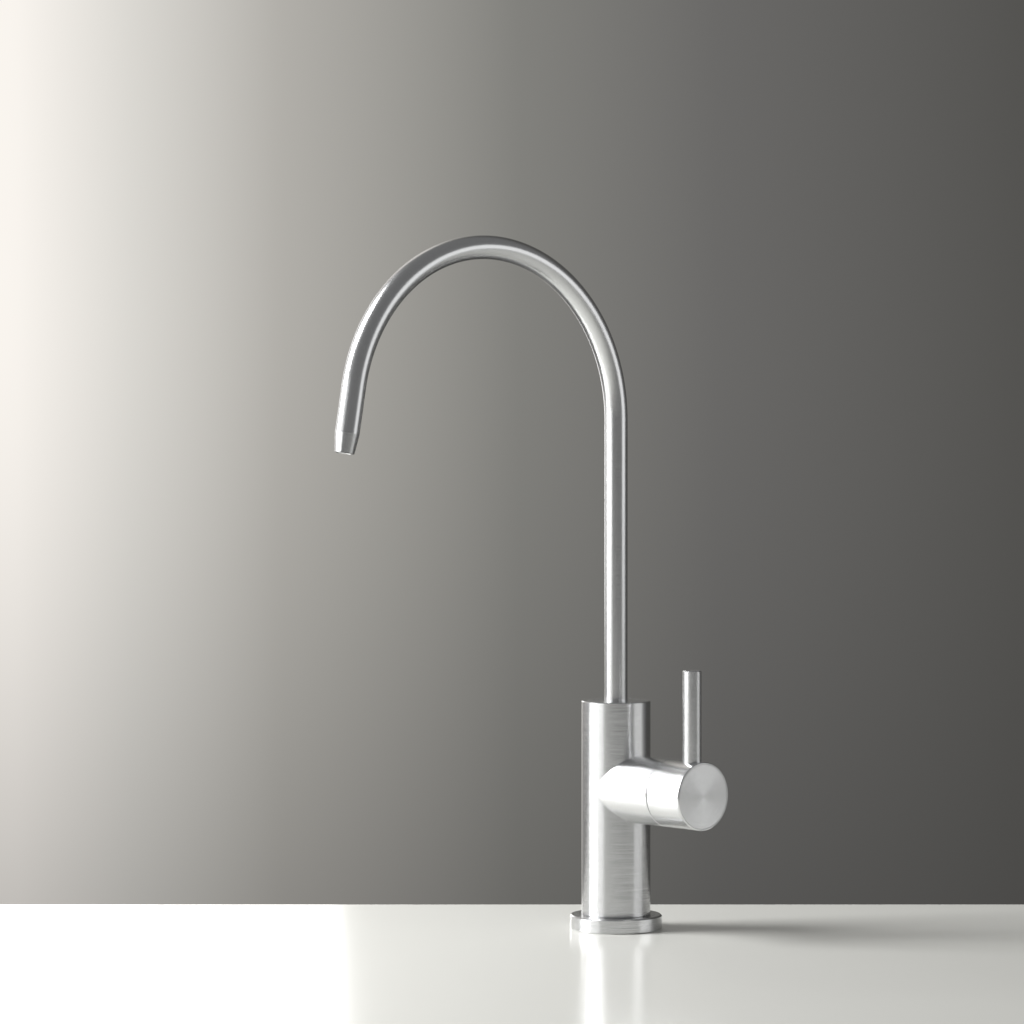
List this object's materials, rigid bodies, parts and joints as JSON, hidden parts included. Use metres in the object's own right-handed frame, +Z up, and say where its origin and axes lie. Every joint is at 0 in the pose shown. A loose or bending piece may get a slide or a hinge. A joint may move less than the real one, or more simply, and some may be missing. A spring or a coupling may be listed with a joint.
{
  "type": "drinking water faucet",
  "caption": "Slim deck-mounted drinking water faucet: round body on a flange, thin high-arc swivel spout and a side lever on a quarter-turn ceramic valve.",
  "frame": {"origin": "on the deck's top surface, at the common axis of the body, the flange and the threaded shank", "axes": "+Z up along the body; +X along the side hub towards the handle; -Y towards the basin, where the spout points at rest"},
  "size_m": [0.0755, 0.1716, 0.3501],
  "materials": {
    "satin_stainless": "satin stainless steel with a fine turned or drawn grain",
    "plated_steel": "bright steel fasteners",
    "brass": "plain turned brass",
    "ceramic": "lapped white alumina ceramic",
    "black_rubber": "smooth black moulded rubber",
    "dark_plastic": "dark grey low-friction plastic"
  },
  "bodies": {
    "base": {"faucet_body": "satin_stainless", "base_flange": "satin_stainless", "deck_seal": "black_rubber", "cover_ring": "satin_stainless", "spout_grub_screw": "plated_steel", "cartridge_housing": "brass", "cartridge_ring": "black_rubber", "seat_seal": "black_rubber", "fixed_disc": "ceramic", "threaded_shank": "brass", "rubber_washer": "black_rubber", "steel_washer": "plated_steel", "lock_washer": "plated_steel", "lock_nut": "brass"},
    "spout": {"spout_tube": "satin_stainless", "spout_tip": "satin_stainless", "swivel_spigot": "brass", "lower_spout_ring": "black_rubber", "upper_spout_ring": "black_rubber"},
    "handle": {"handle_barrel": "satin_stainless", "lever_rod": "satin_stainless", "end_cap": "satin_stainless", "handle_screw": "plated_steel", "spindle": "brass", "moving_disc": "ceramic", "front_spindle_ring": "black_rubber", "rear_spindle_ring": "black_rubber", "thrust_washer": "dark_plastic", "spindle_clip": "plated_steel", "glide_ring": "dark_plastic"}
  },
  "joints": [
    {"name": "spout_swivel", "type": "hinge", "parent": "base", "child": "spout", "pos_m": [0, 0, 0.0871], "axis": [0, 0, 1], "continuous": true},
    {"name": "handle_turn", "type": "hinge", "parent": "base", "child": "handle", "pos_m": [0.0454, 0, 0.0615], "axis": [1, 0, 0], "range_deg": [0, 90]}
  ]
}
